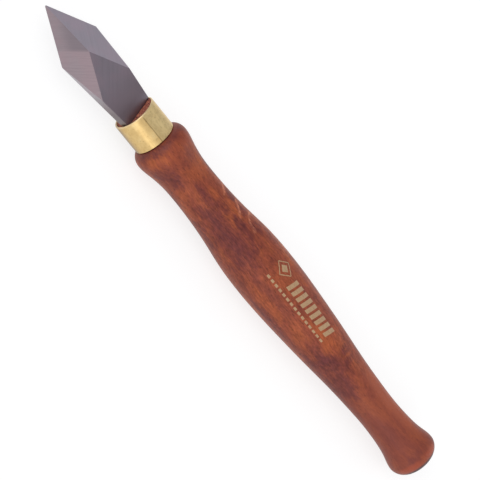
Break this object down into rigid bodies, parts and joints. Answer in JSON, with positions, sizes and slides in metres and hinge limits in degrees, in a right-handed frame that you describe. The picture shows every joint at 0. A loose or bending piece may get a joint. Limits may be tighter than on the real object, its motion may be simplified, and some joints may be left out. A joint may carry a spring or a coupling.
{
  "type": "lino cutter",
  "caption": "Hand cutting tool for linoleum: flat-backed spear-point steel blade with two ground bevels, short brass ferrule and a turned hardwood handle with a flared butt",
  "frame": {"origin": "the point on the table under the middle of the tool, halfway between blade tip and butt", "axes": "x runs along the tool from the butt to the blade tip, y across the blade to the left as seen from the butt, z square to the blade out of its bevelled face"},
  "size_m": [0.1948, 0.0198, 0.0198],
  "materials": {
    "steel": "satin, ground",
    "brass": "satin",
    "wood": "stained and lacquered",
    "epoxy": "cured, amber"
  },
  "bodies": {
    "root": {"blade": "steel", "ferrule": "brass", "handle": "wood", "tang_adhesive": "epoxy"}
  },
  "joints": []
}
